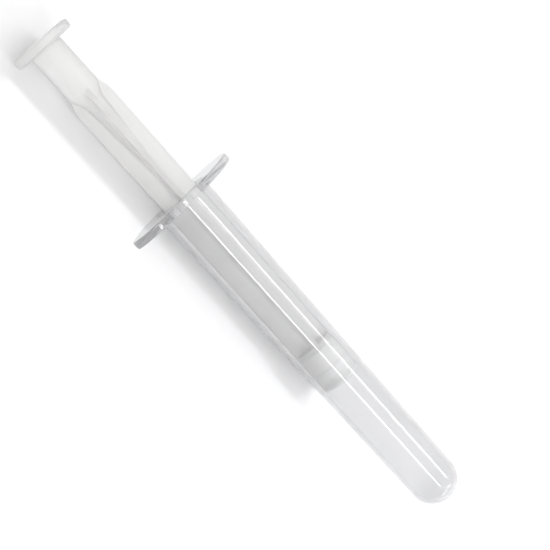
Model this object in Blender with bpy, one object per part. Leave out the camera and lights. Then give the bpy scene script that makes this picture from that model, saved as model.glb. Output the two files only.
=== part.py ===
"""A round-nosed dosing syringe: clear barrel, soft stopper and milky plunger rod.

The syringe lies on the long edge of its flange, with its axis along X, its nose
towards +X and +Z up. The origin is on the table, under the middle of the whole
length, with the plunger drawn out as far as it is when the syringe is part full.
Sizes are in metres. A station is a distance along the axis, towards the nose.
Barrel stations start at the thumb side of the flange, stopper stations at the
stopper's front edge, and rod stations at the front of the rod's head.
"""

import math

import bmesh
import bpy
import numpy as np

# Barrel
BARREL_LENGTH = 0.1174  # flange's thumb side to the nose's tip, were its outlet shut
BORE_RADIUS = 0.0063
WALL_AT_ROOT = 0.0021  # the outside is drafted, the bore is straight
WALL_AT_NOSE = 0.00107
NOSE_DEPTH = 0.0073
NOSE_WALL = 0.0011
OUTLET_RADIUS = 0.0019
MOUTH_CHAMFER = 0.0004
ROOT_FILLET = 0.0005

# Finger flange, a long oval with straight middles to its long edges
FLANGE_WING = 0.0121  # from the barrel's wall to the end of the long half
FLANGE_LEDGE = 0.0012  # from the barrel's wall to the middle of the long edge
FLANGE_THICKNESS = 0.0024
FLANGE_RIM_RADIUS = 0.0005
FLANGE_FLAT = 0.0035  # half of the straight middle of a long edge, on which it lies
FLANGE_TAPER = 0.6  # 0.5 rounds the ends as an ellipse does, and 1 makes them sharper

# Plunger rod
DISC_STANDOFF = 0.0165  # from disc's thumb face to flange, with the chamber empty
DISC_RADIUS = 0.00935
DISC_THICKNESS = 0.0027
DISC_RIM_RADIUS = 0.0009
NECK_LENGTH = 0.0143
NECK_FILLET = 0.0009
NECK_STEP = 0.0011  # how much slimmer the neck is than the ribs
FLARE_LENGTH = 0.0057  # over which the ribs rise from the neck, and the core sinks
CONE_RADIUS = 0.0031  # of the core at the end of the flare
CONE_LENGTH = 0.0270  # over which the core then thins to the crossed ribs
RIB_THICKNESS = 0.0018
HEAD_THICKNESS = 0.0012
STALK_RADIUS = 0.0020
STALK_LENGTH = 0.0026
BUTTON_LENGTH = 0.0042

# Stopper
STOPPER_LENGTH = 0.0116
STOPPER_CROWN = 0.0005  # how far the middle of the front face stands out
LIP_THICKNESS = 0.0009
LIP_SPACING = 0.0046
FRONT_LIP_SETBACK = 0.0002
SOCKET_WALL = 0.0025  # of the stopper, round the rod's button

# Fits, and the plunger's place at rest
SEAL_CLEARANCE = 0.00004  # from a lip to the bore
BODY_CLEARANCE = 0.0004  # from the stopper's body to the bore
RIB_CLEARANCE_AT_FLARE = 0.00025
RIB_CLEARANCE_AT_HEAD = 0.0006
HEAD_SETBACK = 0.0002  # from the stopper's side to the edge of the rod's head
SOCKET_CLEARANCE = 0.0001  # round the rod's button, and from its head to the stopper
STOP_GAP = 0.0003  # from the stopper to the nose's curve, with the chamber empty
STROKE_LEFT = 0.0406  # how far the plunger can still be pushed in
ROD_TURN = math.radians(25.5)  # of the ribs, from in line with the flange

# Worked out from the sizes above
BARREL_ROOT_RADIUS = BORE_RADIUS + WALL_AT_ROOT
BARREL_NOSE_RADIUS = BORE_RADIUS + WALL_AT_NOSE
NOSE_START = BARREL_LENGTH - NOSE_DEPTH
OUTLET_TURN = math.acos(OUTLET_RADIUS / BARREL_NOSE_RADIUS)  # nose's curve, to the outlet
INNER_OUTLET_TURN = math.acos(OUTLET_RADIUS / BORE_RADIUS)
TIP = NOSE_START + NOSE_DEPTH * math.sin(OUTLET_TURN)
FLANGE_HALF_LENGTH = BARREL_ROOT_RADIUS + FLANGE_WING
FLANGE_HALF_WIDTH = BARREL_ROOT_RADIUS + FLANGE_LEDGE
STOPPER_RADIUS = BORE_RADIUS - BODY_CLEARANCE
LIP_RADIUS = BORE_RADIUS - SEAL_CLEARANCE
BUTTON_RADIUS = STOPPER_RADIUS - SOCKET_WALL
HEAD_RADIUS = STOPPER_RADIUS - HEAD_SETBACK
RIB_REACH_AT_FLARE = BORE_RADIUS - RIB_CLEARANCE_AT_FLARE
RIB_REACH_AT_HEAD = BORE_RADIUS - RIB_CLEARANCE_AT_HEAD
NECK_RADIUS = RIB_REACH_AT_FLARE - NECK_STEP
HEAD_AT_STOPPER = -STOPPER_LENGTH - SOCKET_CLEARANCE
ROD_LENGTH = DISC_STANDOFF + NOSE_START - STOP_GAP + HEAD_AT_STOPPER
STOPPER_FRONT = NOSE_START - STOP_GAP - STROKE_LEFT
DRAWN_OUT = DISC_STANDOFF + STROKE_LEFT  # from disc's thumb face to flange, at rest

QUARTER = math.pi / 2
AROUND = 64  # points in a ring, a multiple of 8
TIP_STEPS = 2  # of an eighth of a ring's steps, those across half a rib's outer edge


def arc(station, along, radius, across, start, end, steps):
    """(station, radius) pairs on an ellipse's arc round a centre.

    At no turn the arc is at its furthest from the axis, and after a quarter
    turn it is at its furthest towards the nose.
    """
    turn = np.linspace(start, end, steps)
    return list(zip(station + along * np.sin(turn), radius + across * np.cos(turn)))


def even_angles():
    """The angles of a ring's points, evenly spaced from +Y."""
    return np.arange(AROUND) * (2 * math.pi / AROUND)


def turned(profile):
    """Round rings about the axis, one for each (station, radius) pair."""
    angle = even_angles()
    return [
        np.stack([np.full(AROUND, station), radius * np.cos(angle), radius * np.sin(angle)], axis=1)
        for station, radius in profile
    ]


def flange_ring(station, inset):
    """A ring on the flange's outline, taken in by inset.

    Past the straight middle of each long edge, the width falls off as
    (1 - share squared) to the power of the taper, share being how far along
    the rest of the half length the point lies.
    """
    angle = even_angles()
    half_length = FLANGE_HALF_LENGTH - inset
    across = half_length * np.cos(angle)
    share = np.maximum(np.abs(across) - FLANGE_FLAT, 0) / (half_length - FLANGE_FLAT)
    half_width = (FLANGE_HALF_WIDTH - inset) * np.maximum(1 - share**2, 0) ** FLANGE_TAPER
    return np.stack([np.full(AROUND, station), across, np.sign(np.sin(angle)) * half_width], axis=1)


def rod_ring(station, reach, core):
    """A ring of the rod: four crossed ribs that stand out of a round core.

    The outline is the ribs' outline, no further out than reach and no nearer
    the axis than core, so a core as large as the reach makes a round ring.
    """
    half_rib = RIB_THICKNESS / 2
    eighth = AROUND // 8
    corner = math.asin(half_rib / max(reach, RIB_THICKNESS))
    tip = np.linspace(0, corner, TIP_STEPS, endpoint=False)
    side = np.linspace(corner, QUARTER / 2, eighth - TIP_STEPS + 1)
    rising = np.concatenate([tip, side])
    quarter = np.concatenate([rising, QUARTER - rising[-2:0:-1]])
    angle = ROD_TURN + np.concatenate([quarter + turn * QUARTER for turn in range(4)])
    from_rib = np.minimum(quarter, QUARTER - quarter)
    rib_side = half_rib / np.sin(np.maximum(from_rib, corner / 2))
    radius = np.tile(np.minimum(reach, np.maximum(core, rib_side)), 4)
    return np.stack(
        [np.full(AROUND, station), radius * np.cos(angle), radius * np.sin(angle)], axis=1
    )


def skin(name, rings, loops_back=False):
    """One closed body through rings of points.

    The first ring and the last either join each other, or shrink to points on
    the axis, where their corners merge.
    """
    bm = bmesh.new()
    corners = [[bm.verts.new(point) for point in ring] for ring in rings]
    pairs = list(zip(corners, corners[1:]))
    if loops_back:
        pairs.append((corners[-1], corners[0]))
    for near, far in pairs:
        for k in range(AROUND):
            after = (k + 1) % AROUND
            bm.faces.new((near[k], near[after], far[after], far[k]))
    bmesh.ops.remove_doubles(bm, verts=bm.verts, dist=1e-7)
    bmesh.ops.recalc_face_normals(bm, faces=bm.faces)
    mesh = bpy.data.meshes.new(name)
    bm.to_mesh(mesh)
    bm.free()
    mesh.shade_smooth()
    mesh.set_sharp_from_angle(angle=math.radians(35))
    piece = bpy.data.objects.new(name, mesh)
    bpy.context.scene.collection.objects.link(piece)
    return piece


def plastic(name, colour, roughness, alpha):
    """A moulded plastic that lets some of what is behind it show."""
    material = bpy.data.materials.new(name)
    material.use_nodes = True
    shader = material.node_tree.nodes["Principled BSDF"]
    shader.inputs["Base Color"].default_value = (*colour, 1.0)
    shader.inputs["Roughness"].default_value = roughness
    shader.inputs["Metallic"].default_value = 0.0
    shader.inputs["Alpha"].default_value = alpha
    return material


def make_barrel():
    """Flange, drafted tube and rounded nose in one, open at the mouth and the outlet."""
    rim = FLANGE_RIM_RADIUS
    turns = np.linspace(0, QUARTER, 4)
    thumb_rim = [
        flange_ring(rim * (1 - math.cos(turn)), rim * (1 - math.sin(turn))) for turn in turns
    ]
    finger_rim = [
        flange_ring(FLANGE_THICKNESS - rim * (1 - math.cos(turn)), rim * (1 - math.sin(turn)))
        for turn in turns[::-1]
    ]
    root = arc(
        FLANGE_THICKNESS + ROOT_FILLET, ROOT_FILLET,
        BARREL_ROOT_RADIUS + ROOT_FILLET, ROOT_FILLET,
        -QUARTER, -2 * QUARTER, 4,
    )
    nose = arc(NOSE_START, NOSE_DEPTH, 0, BARREL_NOSE_RADIUS, 0, OUTLET_TURN, 12)
    inner_depth = NOSE_DEPTH - NOSE_WALL
    inner_nose = arc(NOSE_START, inner_depth, 0, BORE_RADIUS, INNER_OUTLET_TURN, 0, 12)
    mouth = [(MOUTH_CHAMFER, BORE_RADIUS), (0, BORE_RADIUS + MOUTH_CHAMFER)]
    rings = [*thumb_rim, *finger_rim, *turned([*root, *nose, *inner_nose, *mouth])]
    return skin("barrel", rings, loops_back=True)


def button_profile(head_face, swell):
    """The button on its stalk, in front of the rod's head, swollen all round by swell."""
    shoulder = head_face + STALK_LENGTH - swell
    half = BUTTON_LENGTH / 2 + swell
    middle = head_face + STALK_LENGTH + BUTTON_LENGTH / 2
    radius = BUTTON_RADIUS + swell
    return [
        (shoulder, STALK_RADIUS + swell),
        (shoulder, radius),
        *arc(middle, half, 0, radius, 0, QUARTER, 7),
    ]


def make_stopper():
    """Two thin sealing lips round a body, with a socket in the back for the rod's button."""
    rise = LIP_RADIUS - STOPPER_RADIUS
    half_lip = LIP_THICKNESS / 2
    front_lip = -FRONT_LIP_SETBACK - half_lip
    profile = [
        *arc(0, STOPPER_CROWN, 0, STOPPER_RADIUS, QUARTER, 0, 5),
        *arc(front_lip, half_lip, STOPPER_RADIUS, rise, QUARTER, -QUARTER, 7),
        *arc(front_lip - LIP_SPACING, half_lip, STOPPER_RADIUS, rise, QUARTER, -QUARTER, 7),
        (-STOPPER_LENGTH, STOPPER_RADIUS),
        (-STOPPER_LENGTH, STALK_RADIUS + SOCKET_CLEARANCE),
        *button_profile(HEAD_AT_STOPPER, SOCKET_CLEARANCE),
    ]
    return skin("piston_stopper", turned(profile))


def make_rod():
    """Thumb disc, solid neck, flare, crossed ribs, head and button in one moulding."""
    disc_back = -ROD_LENGTH
    disc_front = disc_back + DISC_THICKNESS
    rim = DISC_RIM_RADIUS
    neck_end = disc_front + NECK_LENGTH
    head_back = -HEAD_THICKNESS
    round_part = [
        (disc_back, 0),
        *arc(disc_back + rim, rim, DISC_RADIUS - rim, rim, -QUARTER, 0, 4),
        *arc(disc_front - rim, rim, DISC_RADIUS - rim, rim, 0, QUARTER, 4),
        *arc(
            disc_front + NECK_FILLET, NECK_FILLET,
            NECK_RADIUS + NECK_FILLET, NECK_FILLET,
            -QUARTER, -2 * QUARTER, 4,
        ),
        (neck_end, NECK_RADIUS),
    ]
    rings = [rod_ring(station, radius, radius) for station, radius in round_part]
    for share in np.linspace(0, 1, 7)[1:]:
        rise = share * share * (3 - 2 * share)
        reach = NECK_RADIUS + NECK_STEP * rise
        core = NECK_RADIUS + (CONE_RADIUS - NECK_RADIUS) * rise
        rings.append(rod_ring(neck_end + share * FLARE_LENGTH, reach, core))
    crossing = RIB_THICKNESS / math.sqrt(2)
    cone_share = CONE_LENGTH / (head_back - neck_end - FLARE_LENGTH)
    narrowing = RIB_REACH_AT_FLARE - RIB_REACH_AT_HEAD
    cone_end = neck_end + FLARE_LENGTH + CONE_LENGTH
    rings.append(rod_ring(cone_end, RIB_REACH_AT_FLARE - narrowing * cone_share, crossing))
    rings.append(rod_ring(head_back, RIB_REACH_AT_HEAD, crossing))
    front = [
        (head_back, HEAD_RADIUS),
        (0, HEAD_RADIUS),
        (0, STALK_RADIUS),
        *button_profile(0, 0),
    ]
    rings += [rod_ring(station, radius, radius) for station, radius in front]
    return skin("plunger_rod", rings)


def main():
    for thing in list(bpy.data.objects):
        bpy.data.objects.remove(thing, do_unlink=True)

    barrel = make_barrel()
    stopper = make_stopper()
    rod = make_rod()

    barrel.data.materials.append(plastic("clear plastic", (0.90, 0.91, 0.92), 0.06, 0.3))
    stopper.data.materials.append(plastic("soft clear rubber", (0.74, 0.74, 0.75), 0.35, 0.6))
    rod.data.materials.append(plastic("milky plastic", (0.86, 0.85, 0.84), 0.3, 0.8))

    middle = (TIP - DRAWN_OUT) / 2
    barrel.location = (-middle, 0, FLANGE_HALF_WIDTH)
    stopper.parent = barrel
    stopper.location = (STOPPER_FRONT, 0, 0)
    rod.parent = stopper
    rod.location = (HEAD_AT_STOPPER, 0, 0)


main()
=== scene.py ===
"""A round-nosed dosing syringe, dressed: clear barrel, soft stopper and milky plunger rod.

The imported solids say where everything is. Each of the three is replaced by a fine
surface of the same shape, worked out with numpy, which rides on the same body.
Lengths are in metres. The syringe lies along X with its nose towards +X, on the
table at a height of nought. An outline is a list of (station, radius) points, a
station being a distance along the axis from the piece's own datum.
"""

import logging
import math
from dataclasses import dataclass, field
from enum import Enum
from typing import Any

import bpy
import numpy as np
from mathutils import Matrix, Vector


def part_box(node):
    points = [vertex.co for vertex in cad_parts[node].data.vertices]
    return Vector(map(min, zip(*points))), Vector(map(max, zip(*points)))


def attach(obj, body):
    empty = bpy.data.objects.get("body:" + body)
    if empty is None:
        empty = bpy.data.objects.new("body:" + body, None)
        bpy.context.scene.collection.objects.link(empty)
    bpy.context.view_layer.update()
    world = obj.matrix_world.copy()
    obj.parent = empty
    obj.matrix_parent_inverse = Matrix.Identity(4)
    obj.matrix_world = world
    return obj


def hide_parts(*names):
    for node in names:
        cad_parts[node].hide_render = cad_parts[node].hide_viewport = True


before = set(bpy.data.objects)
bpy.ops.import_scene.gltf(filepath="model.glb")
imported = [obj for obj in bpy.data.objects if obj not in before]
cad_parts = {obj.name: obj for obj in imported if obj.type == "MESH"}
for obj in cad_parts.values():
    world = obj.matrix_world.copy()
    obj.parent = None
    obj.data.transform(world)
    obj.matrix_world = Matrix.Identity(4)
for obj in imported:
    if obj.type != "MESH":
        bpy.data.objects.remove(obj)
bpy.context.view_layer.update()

LOG = logging.getLogger("syringe")
MM = 0.001
TOUCHING = 1e-9
QUARTER = math.pi / 2
EVEN = (1, 1, 1)
EVERY_COLOUR = (1.0, 1.0, 1.0)
Points = np.ndarray


class Body(Enum):
    """The bodies that the pieces ride on."""

    BARREL = "barrel"
    STOPPER = "stopper"
    ROD = "rod"


# ---------------------------------------------------------------- shader maths


class Value:
    """A node's number output, on which arithmetic adds Math nodes."""

    def __init__(self, tree: bpy.types.NodeTree, socket: bpy.types.NodeSocket) -> None:
        """Wraps one output.

        Args:
            tree: The node tree that the output is in.
            socket: The output.
        """
        self.tree = tree
        self.socket = socket

    def _maths(self, operation: str, first: Any, second: Any) -> "Value":
        """Adds one Math node on two values and returns its output."""
        node = self.tree.nodes.new("ShaderNodeMath")
        node.operation = operation
        for slot, given in zip(node.inputs, (first, second)):
            if isinstance(given, Value):
                self.tree.links.new(given.socket, slot)
            else:
                slot.default_value = given
        return Value(self.tree, node.outputs[0])

    def __add__(self, other: Any) -> "Value":
        """self + other."""
        return self._maths("ADD", self, other)

    def __radd__(self, other: Any) -> "Value":
        """other + self."""
        return self._maths("ADD", other, self)

    def __sub__(self, other: Any) -> "Value":
        """self - other."""
        return self._maths("SUBTRACT", self, other)

    def __rsub__(self, other: Any) -> "Value":
        """other - self."""
        return self._maths("SUBTRACT", other, self)

    def __mul__(self, other: Any) -> "Value":
        """self * other."""
        return self._maths("MULTIPLY", self, other)

    def __rmul__(self, other: Any) -> "Value":
        """other * self."""
        return self._maths("MULTIPLY", other, self)

    def __pow__(self, other: Any) -> "Value":
        """self to the power of other."""
        return self._maths("POWER", self, other)


class Shader:
    """One material's node tree, with a Principled shader at its end."""

    def __init__(self, name: str) -> None:
        """Starts a material.

        Args:
            name: The material's name.
        """
        self.material = bpy.data.materials.new(name)
        self.material.use_nodes = True
        self.tree = self.material.node_tree
        self.principled = self.tree.nodes["Principled BSDF"]
        self.output = self.tree.nodes["Material Output"]
        self.place = self.node("ShaderNodeTexCoord").outputs["Object"]

    def node(self, kind: str, settings: dict[str, Any] | None = None, **inputs: Any) -> bpy.types.Node:
        """Adds a node.

        Args:
            kind: The node's type.
            settings: Properties of the node, set before its inputs.
            inputs: Numbers, tuples, Values or sockets by input name, with _ for a space.

        Returns:
            The node.
        """
        made = self.tree.nodes.new(kind)
        for key, setting in (settings or {}).items():
            setattr(made, key, setting)
        for key, given in inputs.items():
            self.feed(made.inputs[key.replace("_", " ")], given)
        return made

    def feed(self, slot: bpy.types.NodeSocket, given: Any) -> None:
        """Links or sets one input from a Value, a socket, a number or a tuple."""
        if isinstance(given, Value):
            self.tree.links.new(given.socket, slot)
        elif isinstance(given, bpy.types.NodeSocket):
            self.tree.links.new(given, slot)
        else:
            slot.default_value = given

    def finish(self, **inputs: Any) -> bpy.types.Material:
        """Feeds the Principled shader by input name and returns the material."""
        for key, given in inputs.items():
            self.feed(self.principled.inputs[key.replace("_", " ")], given)
        return self.material

    def stretched(self, scale: tuple[float, float, float]) -> bpy.types.NodeSocket:
        """The object's coordinates, scaled along each axis."""
        mapping = self.node("ShaderNodeMapping", Scale=scale)
        self.tree.links.new(self.place, mapping.inputs["Vector"])
        return mapping.outputs["Vector"]

    def noise(self, size: float, detail: float = 3.0, scale: tuple[float, float, float] = EVEN) -> Value:
        """Smooth noise, from 0 to 1.

        Args:
            size: How large a blotch is, in metres, before any stretch.
            detail: How many finer layers are added.
            scale: A stretch by axis; less than 1 draws the blotches out along it.

        Returns:
            The noise's value.
        """
        made = self.node("ShaderNodeTexNoise", Vector=self.stretched(scale), Scale=1 / size, Detail=detail)
        return Value(self.tree, made.outputs["Fac"])

    def spread(self, value: Value, low: float, high: float, to_low: float, to_high: float) -> Value:
        """value, moved from the range low to high on to the range to_low to to_high, and held there."""
        made = self.node(
            "ShaderNodeMapRange",
            {"clamp": True},
            Value=value, From_Min=low, From_Max=high, To_Min=to_low, To_Max=to_high,
        )
        return Value(self.tree, made.outputs["Result"])

    def mixed(self, share: Value, first: tuple[float, ...], second: tuple[float, ...]) -> bpy.types.NodeSocket:
        """A colour from first to second by share."""
        made = self.node("ShaderNodeMix", {"data_type": "RGBA"})
        self.feed(made.inputs[0], share)
        made.inputs[6].default_value = (*first, 1)
        made.inputs[7].default_value = (*second, 1)
        return made.outputs[2]

    def bumped(self, height: Value, depth: float) -> bpy.types.NodeSocket:
        """A normal from height, whose full range stands for depth in metres."""
        made = self.node("ShaderNodeBump", Strength=1.0, Distance=depth, Height=height)
        return made.outputs["Normal"]

    def light_through(self, share: float) -> None:
        """Lets the lamps' light straight through to what is inside or behind.

        It comes on top of the light that bends through the faces, so the
        inside is lit more brightly than it would really be.

        Args:
            share: How much light gets through each face.
        """
        ray = self.node("ShaderNodeLightPath").outputs["Is Shadow Ray"]
        clear = self.node("ShaderNodeBsdfTransparent", Color=(share, share, share, 1))
        mix = self.node("ShaderNodeMixShader", Fac=ray)
        self.tree.links.new(self.principled.outputs[0], mix.inputs[1])
        self.tree.links.new(clear.outputs[0], mix.inputs[2])
        self.tree.links.new(mix.outputs[0], self.output.inputs["Surface"])

    def absorb(self, colour: tuple[float, float, float], density: float) -> None:
        """Fills the piece with an absorbing volume of a plain colour and density per metre."""
        made = self.node("ShaderNodeVolumeAbsorption", Color=(*colour, 1), Density=density)
        self.tree.links.new(made.outputs["Volume"], self.output.inputs["Volume"])


# -------------------------------------------------------------------- finishes


@dataclass(frozen=True)
class ClearPlastic:
    """Rigid clear moulded plastic: polished, faintly wavy and hazy, with fine handling marks."""

    tint: tuple[float, float, float] = (0.87, 0.87, 0.875)
    smudged: tuple[float, float, float] = (0.845, 0.845, 0.85)
    bend: float = 1.49
    smooth: float = 0.015
    marked: float = 0.07
    wave: float = 0.00003
    smoke: tuple[float, float, float] = (0.32, 0.325, 0.33)
    density: float = 26.0
    see_through: float = 0.76
    light: float = 0.97
    smudge_size: float = 12 * MM
    smudge_range: tuple[float, float] = (0.45, 0.75)
    smudge_share: float = 0.6
    scratch_size: float = 0.6 * MM
    scratch_draw: tuple[float, float, float] = (0.06, 1, 1)
    scratch_range: tuple[float, float] = (0.6, 0.72)
    flow_size: float = 9 * MM
    flow_draw: tuple[float, float, float] = (0.35, 1, 1)

    def build(self) -> bpy.types.Material:
        """Makes the material.

        Returns:
            The material.
        """
        shader = Shader("clear plastic")
        smudge = shader.spread(shader.noise(self.smudge_size, 5), *self.smudge_range, 0, 1)
        scratch = shader.spread(shader.noise(self.scratch_size, 2, self.scratch_draw), *self.scratch_range, 0, 1)
        flow = shader.noise(self.flow_size, 1, self.flow_draw)
        marks = self.smudge_share * smudge + (1 - self.smudge_share) * scratch
        rough = self.smooth + (self.marked - self.smooth) * marks
        shader.absorb(self.smoke, self.density)
        shader.light_through(self.light)
        return shader.finish(
            Base_Color=shader.mixed(smudge, self.tint, self.smudged),
            Roughness=rough,
            IOR=self.bend,
            Transmission_Weight=self.see_through,
            Normal=shader.bumped(flow, self.wave),
        )


@dataclass(frozen=True)
class MilkyPlastic:
    """Natural moulded plastic: milky where it is thick, see-through where it is thin."""

    clear: tuple[float, float, float] = (0.965, 0.96, 0.95)
    cloudy: tuple[float, float, float] = (0.91, 0.905, 0.895)
    bend: float = 1.48
    satin: float = 0.30
    dull: float = 0.42
    see_through: float = 0.55
    inner_glow: float = 0.5
    glow_reach: float = 4 * MM
    cloud_size: float = 6 * MM
    cloud_draw: tuple[float, float, float] = (0.5, 1, 1)
    cloud_range: tuple[float, float] = (0.35, 0.7)
    grain_size: float = 0.5 * MM
    grain: float = 0.00001

    def build(self) -> bpy.types.Material:
        """Makes the material.

        Returns:
            The material.
        """
        shader = Shader("milky plastic")
        cloud = shader.spread(shader.noise(self.cloud_size, 4, self.cloud_draw), *self.cloud_range, 0, 1)
        grain = shader.noise(self.grain_size, 3)
        return shader.finish(
            Base_Color=shader.mixed(cloud, self.clear, self.cloudy),
            Roughness=self.satin + (self.dull - self.satin) * cloud,
            IOR=self.bend,
            Transmission_Weight=self.see_through,
            Subsurface_Weight=self.inner_glow,
            Subsurface_Radius=EVERY_COLOUR,
            Subsurface_Scale=self.glow_reach,
            Normal=shader.bumped(grain, self.grain),
        )


@dataclass(frozen=True)
class SoftRubber:
    """Natural soft rubber: greyish, translucent and satin."""

    pale: tuple[float, float, float] = (0.97, 0.97, 0.975)
    grey: tuple[float, float, float] = (0.91, 0.91, 0.915)
    bend: float = 1.41
    satin: float = 0.34
    dull: float = 0.46
    see_through: float = 0.35
    inner_glow: float = 1.0
    glow_reach: float = 3 * MM
    cloud_size: float = 3 * MM
    cloud_range: tuple[float, float] = (0.35, 0.7)
    grain_size: float = 0.4 * MM
    grain: float = 0.000015

    def build(self) -> bpy.types.Material:
        """Makes the material.

        Returns:
            The material.
        """
        shader = Shader("soft rubber")
        cloud = shader.spread(shader.noise(self.cloud_size, 4), *self.cloud_range, 0, 1)
        grain = shader.noise(self.grain_size, 3)
        return shader.finish(
            Base_Color=shader.mixed(cloud, self.pale, self.grey),
            Roughness=self.satin + (self.dull - self.satin) * cloud,
            IOR=self.bend,
            Transmission_Weight=self.see_through,
            Subsurface_Weight=self.inner_glow,
            Subsurface_Radius=EVERY_COLOUR,
            Subsurface_Scale=self.glow_reach,
            Normal=shader.bumped(grain, self.grain),
        )


@dataclass(frozen=True)
class PaleTable:
    """A matt white table top."""

    white: tuple[float, float, float] = (0.93, 0.93, 0.935)
    worn: tuple[float, float, float] = (0.90, 0.90, 0.905)
    patch_size: float = 120 * MM
    matt: float = 0.85
    matt_spread: float = 0.1
    tooth_size: float = 0.8 * MM
    tooth: float = 0.00002

    def build(self) -> bpy.types.Material:
        """Makes the material.

        Returns:
            The material.
        """
        shader = Shader("pale table")
        patch = shader.noise(self.patch_size, 3)
        return shader.finish(
            Base_Color=shader.mixed(patch, self.white, self.worn),
            Roughness=self.matt + self.matt_spread * patch,
            Normal=shader.bumped(shader.noise(self.tooth_size, 4), self.tooth),
        )


# -------------------------------------------------------------------- surfaces


def run(start: tuple[float, float], end: tuple[float, float], count: int = 9) -> Points:
    """A straight run of points, closer together towards both ends.

    The share of the way is (1 - cos(turn)) / 2 for an even turn from 0 to half a circle.

    Args:
        start: The first point.
        end: The last point.
        count: How many points.

    Returns:
        The points, one a row.
    """
    share = (1 - np.cos(np.linspace(0, math.pi, count)))[:, None] / 2
    return np.asarray(start) + (np.asarray(end) - np.asarray(start)) * share


def arc(
    station: float, along: float, radius: float, across: float, start: float, end: float, count: int
) -> Points:
    """An ellipse's arc: (station + along sin turn, radius + across cos turn).

    Args:
        station: The centre's station.
        along: Half the ellipse's size along the axis.
        radius: The centre's distance from the axis.
        across: Half the ellipse's size away from the axis.
        start: The first turn; at nought the arc is furthest from the axis.
        end: The last turn; a quarter turn is furthest towards the nose.
        count: How many points.

    Returns:
        The points, one a row.
    """
    turn = np.linspace(start, end, count)
    return np.stack([station + along * np.sin(turn), radius + across * np.cos(turn)], axis=1)


def outline(corners: list[tuple[float, float, float]], steps: int = 7, between: int = 7) -> Points:
    """A path of straight runs with rounded corners.

    A corner of rounding r between two directions is a circle's arc that starts
    and ends r tan(turn / 2) from the corner. Its points are the corner's own
    quadratic blend, which for these small roundings is within a hair of the circle.

    Args:
        corners: (station, radius, rounding), the two ends having no rounding.
        steps: How many points round each corner.
        between: How many points along each straight run.

    Returns:
        The points, one a row, with none twice.
    """
    spots = np.array([corner[:2] for corner in corners], dtype=float)
    ways = np.diff(spots, axis=0)
    ways /= np.linalg.norm(ways, axis=1, keepdims=True)
    path: list[Points] = []
    here = spots[0]
    for index in range(1, len(spots) - 1):
        rounding = corners[index][2]
        turn = math.acos(float(np.clip(ways[index - 1] @ ways[index], -1, 1)))
        reach = rounding * math.tan(turn / 2)
        before = spots[index] - ways[index - 1] * reach
        after = spots[index] + ways[index] * reach
        path.append(run(here, before, between)[:-1])
        if reach > 0:
            share = np.linspace(0, 1, steps)[:, None]
            curve = (1 - share) ** 2 * before + 2 * share * (1 - share) * spots[index] + share**2 * after
            path.append(curve[:-1])
        here = after
    path.append(run(here, spots[-1], between))
    return np.concatenate(path)


def soft_least(first: Points, second: Points, blend: float) -> Points:
    """The lesser of two lengths, rounded where they cross over a length of blend."""
    near = np.maximum(blend - np.abs(first - second), 0) / blend
    return np.minimum(first, second) - near * near * blend / 4


def soft_most(first: Points, second: Points, blend: float) -> Points:
    """The greater of two lengths, rounded where they cross over a length of blend."""
    return -soft_least(-first, -second, blend)


def eased(share: Points | float) -> Points:
    """A share from 0 to 1 that starts and ends gently: 3 s^2 - 2 s^3."""
    held = np.clip(share, 0, 1)
    return held * held * (3 - 2 * held)


@dataclass(frozen=True)
class Axis:
    """The syringe's axis, along X at one height."""

    height: float

    def rings(self, stations: Points, radii: Points, angles: Points) -> Points:
        """Rings of points about the axis.

        A point is (station, radius cos angle, height + radius sin angle).

        Args:
            stations: The x of each ring.
            radii: The radius of each point, one row a ring, or one for each ring.
            angles: The angle of each point of a ring.

        Returns:
            Points by ring, by place round the ring, by coordinate.
        """
        radii = np.broadcast_to(radii.reshape(len(stations), -1), (len(stations), len(angles)))
        across = radii * np.cos(angles)
        up = self.height + radii * np.sin(angles)
        return np.stack([np.broadcast_to(stations[:, None], across.shape), across, up], axis=2)


def skin(name: str, grid: Points, loops_back: bool) -> bpy.types.Object:
    """Makes a closed smooth object from rings of points.

    Each ring joins the next with a band of quads. An outside runs towards the
    nose and an inside runs back, so that every face points out. Where a ring
    has shrunk to a point, its corners are one vertex.

    Args:
        name: The object's name.
        grid: Points by ring, by place round the ring, by coordinate.
        loops_back: Whether the last ring joins the first.

    Returns:
        The object, linked to the scene.
    """
    rings, around, _ = grid.shape
    index = np.arange(rings * around).reshape(rings, around)
    shrunk = np.ptp(grid, axis=1).max(axis=1) < TOUCHING
    index[shrunk] = index[shrunk][:, :1]
    near = index if loops_back else index[:-1]
    far = np.roll(index, -1, axis=0) if loops_back else index[1:]
    quads = np.stack([near, np.roll(near, -1, axis=1), np.roll(far, -1, axis=1), far], axis=2)
    used, faces = np.unique(quads.reshape(-1, 4), return_inverse=True)
    faces = faces.reshape(-1, 4)
    first, last = faces[:, 0] == faces[:, 1], faces[:, 2] == faces[:, 3]
    whole = faces[~(first | last)].tolist() + faces[first][:, [0, 2, 3]].tolist()
    whole += faces[last][:, [0, 1, 2]].tolist()
    mesh = bpy.data.meshes.new(name)
    mesh.from_pydata(grid.reshape(-1, 3)[used].tolist(), [], whole)
    mesh.shade_smooth()
    piece = bpy.data.objects.new(name, mesh)
    bpy.context.scene.collection.objects.link(piece)
    return piece


def dress(piece: bpy.types.Object, finish: Any, node: str, body: Body) -> bpy.types.Object:
    """Gives a piece its finish and its place in the frame.

    Args:
        piece: The piece.
        finish: Its finish.
        node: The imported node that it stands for.
        body: The body that it rides on.

    Returns:
        The piece.
    """
    piece.data.materials.append(finish.build())
    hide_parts(node)
    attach(piece, body.value)
    LOG.info("%s: %d faces, for %s on %s", piece.name, len(piece.data.polygons), node, body.value)
    return piece


# ---------------------------------------------------------------------- pieces


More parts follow.
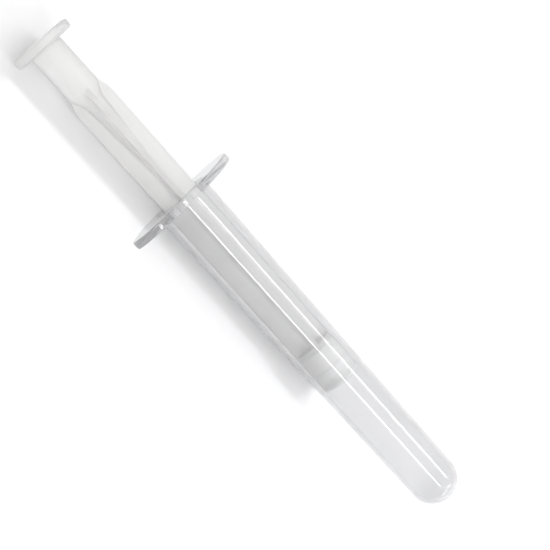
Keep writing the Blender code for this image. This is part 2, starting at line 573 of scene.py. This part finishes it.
@dataclass
class Barrel:
    """Clear barrel: oval flange, drafted tube, straight bore and rounded nose in one."""

    node: str = "barrel"
    bore_radius: float = 6.3 * MM
    root_radius: float = 8.4 * MM
    nose_radius: float = 7.37 * MM
    nose_depth: float = 7.3 * MM
    nose_wall: float = 1.1 * MM
    outlet_radius: float = 1.9 * MM
    outlet_rounding: float = 0.25 * MM
    mouth_rounding: float = 0.4 * MM
    root_fillet: float = 0.5 * MM
    flange_thickness: float = 2.4 * MM
    flange_rim: float = 0.5 * MM
    flange_flat: float = 3.5 * MM
    flange_taper: float = 0.6
    around: int = 288
    angles: Points = field(init=False)

    def __post_init__(self) -> None:
        """Reads the barrel's place and its overall sizes from the frame."""
        low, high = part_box(self.node)
        self.thumb_side = low[0]
        self.tip = high[0]
        self.half_length = (high[1] - low[1]) / 2
        self.half_width = (high[2] - low[2]) / 2
        self.axis = Axis((high[2] + low[2]) / 2)
        self.angles = np.arange(self.around) * (2 * math.pi / self.around)

    def oval(self, insets: Points) -> Points:
        """The flange's outline, taken in by each inset.

        Past the straight middle of a long edge the width falls off as
        (1 - share squared) to the power of the taper.

        Args:
            insets: How far each ring is taken in.

        Returns:
            (across, up) by ring and place round it, from the axis.
        """
        length = self.half_length - insets[:, None]
        width = self.half_width - insets[:, None]
        across = length * np.cos(self.angles)
        share = np.maximum(np.abs(across) - self.flange_flat, 0) / (length - self.flange_flat)
        up = np.sign(np.sin(self.angles)) * width * np.maximum(1 - share**2, 0) ** self.flange_taper
        return np.stack([across, up], axis=2)

    def flange(self) -> Points:
        """Rings over the flange: thumb face, rim and finger face.

        A face's rings go evenly from a circle to the outline, and the rim is
        a quarter circle, a flat band and another quarter circle.

        Returns:
            Points by ring, place and coordinate.
        """
        rim, thick = self.flange_rim, self.flange_thickness
        turn = np.linspace(0, QUARTER, 9)
        back = np.stack([rim * (1 - np.cos(turn)), rim * (1 - np.sin(turn))], axis=1)
        edge = np.concatenate([back, back[::-1] * [-1, 1] + [thick, 0]])
        share = run((0, 0), (1, 0), 13)[:, 0][:, None, None]
        ring = np.stack([np.cos(self.angles), np.sin(self.angles)], axis=1)
        full = self.oval(np.array([rim]))
        mouth = ring * (self.bore_radius + self.mouth_rounding)
        root = ring * (self.root_radius + self.root_fillet)
        thumb_face = (mouth + (full - mouth) * share)[:-1]
        finger_face = (full + (root - full) * share)[1:]
        flat = np.concatenate([thumb_face, self.oval(edge[:, 1]), finger_face])
        stations = np.concatenate([np.zeros(len(thumb_face)), edge[:, 0], np.full(len(finger_face), thick)])
        grid = np.empty((len(flat), self.around, 3))
        grid[..., 0] = self.thumb_side + stations[:, None]
        grid[..., 1:] = flat + [0, self.axis.height]
        return grid

    def tube(self) -> Points:
        """The outline from the flange's root over the nose, in through the outlet and back down the bore.

        Returns:
            (station, radius) points from the flange's thumb side.
        """
        nose_turn = math.acos(self.outlet_radius / self.nose_radius)
        nose_start = self.tip - self.thumb_side - self.nose_depth * math.sin(nose_turn)
        inner_depth = self.nose_depth - self.nose_wall
        inner_turn = math.acos(self.outlet_radius / self.bore_radius)
        fillet = self.root_fillet
        foot = self.flange_thickness + fillet
        root = arc(foot, fillet, self.root_radius + fillet, fillet, -QUARTER, -2 * QUARTER, 9)[1:]
        wall = run((foot, self.root_radius), (nose_start, self.nose_radius), 40)[1:-1]
        clear = self.outlet_rounding
        ease = 1.6 * clear / self.nose_radius
        nose = arc(nose_start, self.nose_depth, 0, self.nose_radius, 0, nose_turn - ease, 48)
        inner = arc(nose_start, inner_depth, 0, self.bore_radius, inner_turn - ease, 0, 44)
        lip_station = nose_start + self.nose_depth * math.sin(nose_turn)
        inner_station = nose_start + inner_depth * math.sin(inner_turn)
        hole = outline(
            [
                (*nose[-1], 0),
                (lip_station, self.outlet_radius, clear),
                (inner_station, self.outlet_radius, clear / 2),
                (*inner[0], 0),
            ],
            between=4,
        )
        bore = run((nose_start, self.bore_radius), (self.mouth_rounding, self.bore_radius), 40)[1:-1]
        mouth = arc(
            self.mouth_rounding, self.mouth_rounding,
            self.bore_radius + self.mouth_rounding, self.mouth_rounding,
            -2 * QUARTER, -QUARTER, 7,
        )[:-1]
        return np.concatenate([root, wall, nose[:-1], hole, inner[1:], bore, mouth])

    def build(self) -> bpy.types.Object:
        """Makes and dresses the barrel.

        Returns:
            The piece.
        """
        path = self.tube()
        tube = self.axis.rings(self.thumb_side + path[:, 0], path[:, 1], self.angles)
        piece = skin("clear_barrel", np.concatenate([self.flange(), tube]), loops_back=True)
        return dress(piece, ClearPlastic(), self.node, Body.BARREL)


@dataclass
class Button:
    """The button on its stalk, which holds the rod to the stopper."""

    stalk_radius: float = 2.0 * MM
    stalk_length: float = 2.6 * MM
    radius: float = 3.4 * MM
    length: float = 4.2 * MM
    clearance: float = 0.1 * MM
    shoulder_rounding: float = 0.2 * MM
    edge_rounding: float = 0.25 * MM

    def outline(self, face: float, swell: float) -> Points:
        """The button's outline in front of the rod's head, swollen all round.

        Args:
            face: The station of the head's front face.
            swell: How much larger all round, as for the socket.

        Returns:
            (station, radius) points from the stalk's foot to the tip on the axis.
        """
        shoulder = face + self.stalk_length - swell
        middle = face + self.stalk_length + self.length / 2
        stalk, radius = self.stalk_radius + swell, self.radius + swell
        foot = outline(
            [
                (face, stalk, 0),
                (shoulder, stalk, self.shoulder_rounding),
                (shoulder, radius, self.edge_rounding),
                (middle, radius, 0),
            ]
        )
        tip = arc(middle, self.length / 2 + swell, 0, radius, 0, QUARTER, 20)
        return np.concatenate([foot[:-1], tip])


@dataclass
class Stopper:
    """Soft stopper: two thin sealing lips round a body with a socket in its back."""

    node: str = "piston_stopper"
    body_radius: float = 5.9 * MM
    crown: float = 0.5 * MM
    lip_thickness: float = 0.9 * MM
    lip_spacing: float = 4.6 * MM
    front_lip_setback: float = 0.2 * MM
    edge_rounding: float = 0.3 * MM
    mouth_rounding: float = 0.2 * MM
    around: int = 256
    button: Button = field(default_factory=Button)

    def __post_init__(self) -> None:
        """Reads the stopper's place and its lips' size from the frame."""
        low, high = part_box(self.node)
        self.rear = low[0]
        self.front = high[0] - self.crown
        self.lip_radius = (high[1] - low[1]) / 2
        self.axis = Axis((high[2] + low[2]) / 2)

    def lip(self, middle: float) -> Points:
        """One lip, half an ellipse that stands on the body.

        Args:
            middle: The station of its crest.

        Returns:
            (station, radius) points, towards the nose.
        """
        rise = self.lip_radius - self.body_radius
        return arc(middle, self.lip_thickness / 2, self.body_radius, rise, -QUARTER, QUARTER, 17)

    def build(self) -> bpy.types.Object:
        """Makes and dresses the stopper.

        Returns:
            The piece.
        """
        front_lip = self.front - self.front_lip_setback - self.lip_thickness / 2
        rear_lip = front_lip - self.lip_spacing
        socket = self.button.outline(self.rear - self.button.clearance, self.button.clearance)
        inside = socket[socket[:, 0] > self.rear][::-1]
        back = outline(
            [
                (*inside[-1], 0),
                (self.rear, self.button.stalk_radius + self.button.clearance, self.mouth_rounding),
                (self.rear, self.body_radius, self.edge_rounding),
                (rear_lip - self.lip_thickness / 2, self.body_radius, 0),
            ]
        )
        front = arc(self.front, self.crown, 0, self.body_radius, 0, QUARTER, 24)
        path = np.concatenate([inside[:-1], back[:-1], self.lip(rear_lip), self.lip(front_lip), front])
        angles = np.arange(self.around) * (2 * math.pi / self.around)
        piece = skin("soft_stopper", self.axis.rings(path[:, 0], path[:, 1], angles), loops_back=False)
        return dress(piece, SoftRubber(), self.node, Body.STOPPER)


@dataclass
class Rod:
    """Milky rod: thumb disc, solid neck, flare, crossed ribs, head and button in one."""

    node: str = "plunger_rod"
    disc_thickness: float = 2.7 * MM
    disc_rim: float = 0.9 * MM
    dish: float = 0.25 * MM
    neck_length: float = 14.3 * MM
    neck_radius: float = 4.95 * MM
    neck_fillet: float = 0.9 * MM
    flare_length: float = 5.7 * MM
    cone_radius: float = 3.1 * MM
    cone_length: float = 27.0 * MM
    rib_thickness: float = 1.8 * MM
    rib_draft: float = 0.03
    reach_at_flare: float = 6.05 * MM
    reach_at_head: float = 5.7 * MM
    tip_rounding: float = 0.3 * MM
    root_rounding: float = 0.6 * MM
    head_radius: float = 5.7 * MM
    head_thickness: float = 1.2 * MM
    head_foot_rounding: float = 0.5 * MM
    head_edge_rounding: float = 0.15 * MM
    stalk_rounding: float = 0.2 * MM
    turn: float = math.radians(25.5)
    around: int = 256
    button: Button = field(default_factory=Button)

    def __post_init__(self) -> None:
        """Reads the rod's place and its disc's size from the frame."""
        low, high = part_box(self.node)
        self.thumb_face = low[0]
        self.head_face = high[0] - self.button.stalk_length - self.button.length
        self.disc_radius = (high[1] - low[1]) / 2
        self.axis = Axis((high[2] + low[2]) / 2)
        self.neck_end = self.thumb_face + self.disc_thickness + self.neck_length
        self.head_back = self.head_face - self.head_thickness

    def angles(self) -> Points:
        """Angles round a ring, closer together at the ribs' outer edges.

        In each eighth of a turn, the angle from the rib is the eighth times an
        even share to the power of 1.4.

        Returns:
            The angles, from +Y.
        """
        share = np.linspace(0, 1, self.around // 8 + 1)
        rising = QUARTER / 2 * share**1.4
        quarter = np.concatenate([rising, QUARTER - rising[-2:0:-1]])
        return np.concatenate([quarter + turn * QUARTER for turn in range(4)])

    def core_outline(self) -> Points:
        """The outline of the round parts, and of the core where the ribs are.

        Returns:
            (station, radius) points from the thumb face to the button's tip.
        """
        face, front = self.thumb_face, self.thumb_face + self.disc_thickness
        rim, core = self.disc_rim, self.rib_thickness / math.sqrt(2)
        dish_edge = self.disc_radius - 1.6 * rim
        hollow = np.linspace(0, 1, 14)
        dished = np.stack([face + self.dish * (1 - eased(hollow)), dish_edge * hollow], axis=1)
        disc = outline(
            [
                (face, dish_edge, 0),
                (face, self.disc_radius, rim),
                (front, self.disc_radius, rim),
                (front, self.neck_radius, self.neck_fillet),
                (self.neck_end, self.neck_radius, 0),
            ],
            steps=11,
            between=9,
        )
        past = np.linspace(0, 1, 40)[1:]
        sunk = self.neck_radius + (self.cone_radius - self.neck_radius) * eased(past)
        flare = np.stack([self.neck_end + self.flare_length * past, sunk], axis=1)
        flare_end = self.neck_end + self.flare_length
        cone = run((flare_end, self.cone_radius), (flare_end + self.cone_length, core), 30)[1:]
        ribs = outline(
            [
                (*cone[-1], 0),
                (self.head_back, core, self.head_foot_rounding),
                (self.head_back, self.head_radius, self.head_edge_rounding),
                (self.head_face, self.head_radius, self.head_edge_rounding),
                (self.head_face, self.button.stalk_radius, self.stalk_rounding),
                (self.head_face + self.button.stalk_length / 2, self.button.stalk_radius, 0),
            ],
            between=12,
        )
        button = self.button.outline(self.head_face, 0)
        button = button[button[:, 0] > ribs[-1, 0] + 0.1 * MM]
        return np.concatenate([dished[:-1], disc[:-1], flare, cone, ribs[1:], button])

    def radii(self, path: Points, angles: Points) -> Points:
        """The radius of every point: crossed ribs round the core.

        A rib's side is half its thickness away from its middle plane at the
        root and closer by the draft further out, which gives the radius
        half / (sin + draft cos) at an angle from the rib. The ribs' reach
        swells over the flare and then falls evenly towards the head.

        Args:
            path: (station, core radius) of each ring.
            angles: The angle of each point of a ring.

        Returns:
            The radii by ring and place.
        """
        station, core = path[:, 0], path[:, 1:]
        from_rib = np.abs((angles + QUARTER / 2) % QUARTER - QUARTER / 2)
        side = self.rib_thickness / 2 / np.maximum(np.sin(from_rib) + self.rib_draft * np.cos(from_rib), 0.05)
        past = station - self.neck_end
        flare = eased(past / self.flare_length)
        along = np.clip((past - self.flare_length) / (self.head_back - self.neck_end - self.flare_length), 0, 1)
        full = self.reach_at_flare + (self.reach_at_head - self.reach_at_flare) * along
        reach = self.neck_radius + (full - self.neck_radius) * flare
        sunk = self.root_rounding * (1 - eased(past / self.flare_length * 2))
        ribs = soft_least((reach - sunk)[:, None], side[None, :], self.tip_rounding)
        ribbed = ((past >= 0) & (station < self.head_back))[:, None]
        return np.where(ribbed, soft_most(core, ribs, self.root_rounding), core)

    def build(self) -> bpy.types.Object:
        """Makes and dresses the rod.

        Returns:
            The piece.
        """
        path, angles = self.core_outline(), self.angles()
        grid = self.axis.rings(path[:, 0], self.radii(path, angles), angles + self.turn)
        piece = skin("milky_rod", grid, loops_back=False)
        return dress(piece, MilkyPlastic(), self.node, Body.ROD)


# ---------------------------------------------------------------------- studio


@dataclass(frozen=True)
class Softbox:
    """A plain rectangular studio light."""

    name: str
    place: tuple[float, float, float]
    size: tuple[float, float]
    brightness: float

    def build(self, place: Vector, target: Vector) -> bpy.types.Object:
        """Makes the light, its long way as near the syringe's axis as it can be.

        Args:
            place: Where it stands.
            target: What it faces.

        Returns:
            The light's object.
        """
        lamp = bpy.data.lights.new(self.name, "AREA")
        lamp.shape = "RECTANGLE"
        lamp.size, lamp.size_y = self.size
        lamp.energy = self.brightness * math.pi * self.size[0] * self.size[1]
        made = bpy.data.objects.new(self.name, lamp)
        back = (place - target).normalized()
        side = Vector((1, 0, 0)) - back * back.x if abs(back.x) < 0.8 else Vector((0, 1, 0)) - back * back.y
        side.normalize()
        turned = Matrix((side, back.cross(side), back)).transposed().to_4x4()
        turned.translation = place
        made.matrix_world = turned
        made.visible_camera = False
        bpy.context.scene.collection.objects.link(made)
        return made


@dataclass
class Studio:
    """Table, lights, surroundings and camera.

    The camera leans towards the nose by the tilt, and it is swung round the
    syringe's axis by the swing. Towards it is "near", and at right angles to
    that and to the axis is "side".
    """

    table_radius: float = 3.0
    surroundings: tuple[float, float, float] = (0.79, 0.79, 0.795)
    lens: float = 103.1
    sensor: float = 36.0
    distance: float = 443.7 * MM
    tilt: float = math.radians(10.5)
    swing: float = math.radians(33)
    turn: float = math.radians(48.2)
    aim: tuple[float, float] = (4.45 * MM, 5.35 * MM)
    softboxes: tuple[Softbox, ...] = (
        Softbox("overhead strip", (0.28, 0.056, 0.80), (0.62, 0.07), 11.0),
        Softbox("side strip", (0.20, 0.80, 0.56), (0.70, 0.10), 11.0),
        Softbox("nose panel", (0.95, 0.24, 0.30), (0.50, 0.20), 4.0),
    )

    def __post_init__(self) -> None:
        """Works out the directions that everything is placed by."""
        low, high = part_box("barrel")
        self.height = (low[2] + high[2]) / 2
        self.near = Vector((0, -math.sin(self.swing), math.cos(self.swing)))
        self.side = Vector((0, math.cos(self.swing), math.sin(self.swing)))

    def placed(self, along: float, side: float, near: float) -> Vector:
        """The point that lies so far along the axis, to the side and near, from the axis."""
        return Vector((along, 0, self.height)) + side * self.side + near * self.near

    def table(self) -> bpy.types.Object:
        """A round table top: rings at radii that grow evenly, in the plane at nought.

        Returns:
            The table, which is not part of the object.
        """
        angles = np.arange(96) * (2 * math.pi / 96)
        radii = np.linspace(0, self.table_radius, 12)[:, None]
        grid = np.stack([radii * np.cos(angles), radii * np.sin(angles), np.zeros((12, 96))], axis=2)
        made = skin("table", grid[::-1], loops_back=False)
        made.data.materials.append(PaleTable().build())
        return made

    def world(self) -> None:
        """Plain pale surroundings."""
        made = bpy.data.worlds.new("surroundings")
        made.use_nodes = True
        made.node_tree.nodes["Background"].inputs["Color"].default_value = (*self.surroundings, 1)
        bpy.context.scene.world = made

    def camera(self) -> bpy.types.Object:
        """A long lens nearly over the syringe, turned so that its axis runs down to the right.

        The picture is turned by the turn, so the right of the picture is
        cos(turn) along the axis and sin(turn) to the side.

        Returns:
            The camera's object.
        """
        lens = bpy.data.cameras.new("camera")
        lens.lens = self.lens
        lens.sensor_width = self.sensor
        made = bpy.data.objects.new("camera", lens)
        straight = Vector((1, 0, 0))
        ahead = math.sin(self.tilt) * straight - math.cos(self.tilt) * self.near
        along = math.cos(self.tilt) * straight + math.sin(self.tilt) * self.near
        right = math.cos(self.turn) * along + math.sin(self.turn) * self.side
        down = math.sin(self.turn) * along - math.cos(self.turn) * self.side
        placed = Matrix((right, -down, -ahead)).transposed().to_4x4()
        placed.translation = self.placed(*self.aim, 0) - ahead * self.distance
        made.matrix_world = placed
        bpy.context.scene.collection.objects.link(made)
        bpy.context.scene.camera = made
        return made

    def build(self) -> None:
        """Sets everything up round the syringe."""
        scene = bpy.context.scene
        scene.view_settings.view_transform = "Standard"
        scene.cycles.max_bounces = 24
        scene.cycles.glossy_bounces = 20
        scene.cycles.transmission_bounces = 24
        self.table()
        self.world()
        target = self.placed(self.aim[0], 0, 0)
        for softbox in self.softboxes:
            softbox.build(self.placed(*softbox.place), target)
        self.camera()


def main() -> None:
    """Builds the studio and each piece in turn."""
    logging.basicConfig(level=logging.INFO, format="%(message)s")
    Studio().build()
    for maker in (Barrel(), Stopper(), Rod()):
        maker.build()


if __name__ == "__main__":
    main()
